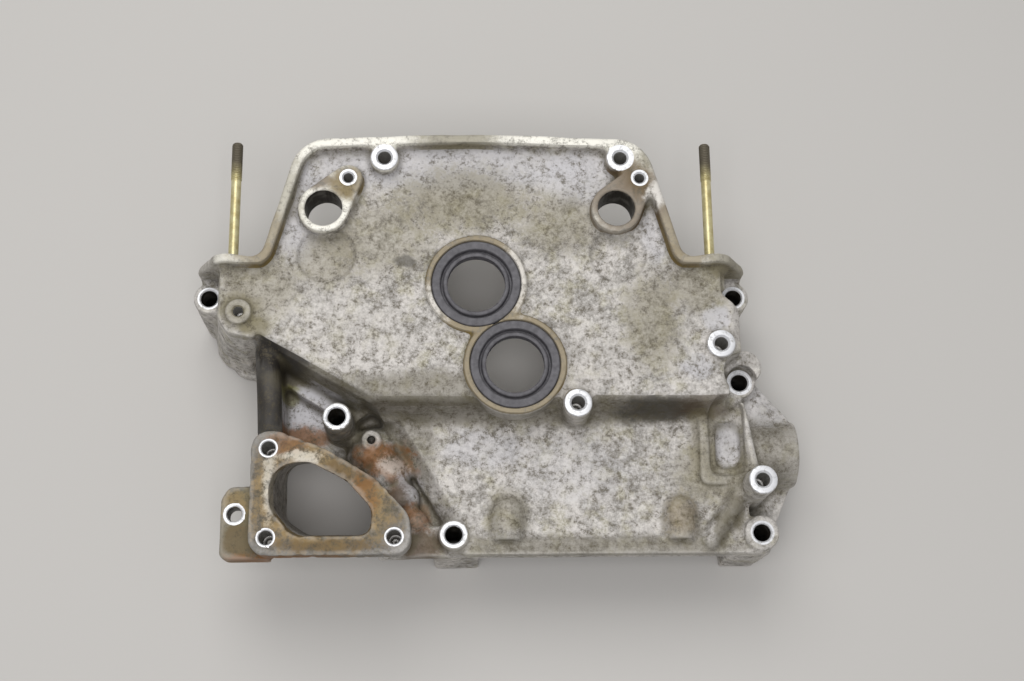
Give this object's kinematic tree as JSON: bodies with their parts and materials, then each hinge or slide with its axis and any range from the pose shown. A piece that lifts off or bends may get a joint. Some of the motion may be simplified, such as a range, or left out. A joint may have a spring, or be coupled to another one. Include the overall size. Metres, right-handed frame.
{
  "type": "timing cover",
  "caption": "Deep cast timing cover with an arched rim, shaft seals, solenoid bores, a triangular coolant port, a pipe stub and two studs along the valve cover side.",
  "frame": {"origin": "middle of the two upper bolt ears, on the sealing plane against the engine", "axes": "+Z outwards from the engine, +Y up towards the valve cover, +X to the right seen from outside"},
  "size_m": [0.3251, 0.225, 0.087],
  "materials": {
    "cast_aluminium": "rough cast, stained",
    "seal_rubber": "satin",
    "spring_steel": "bright",
    "zinc_steel": "yellow zinc"
  },
  "bodies": {
    "root": {"cover": "cast_aluminium", "upper_seal": "seal_rubber", "upper_seal_spring": "spring_steel", "lower_seal": "seal_rubber", "lower_seal_spring": "spring_steel", "left_stud": "zinc_steel", "right_stud": "zinc_steel"}
  },
  "joints": []
}
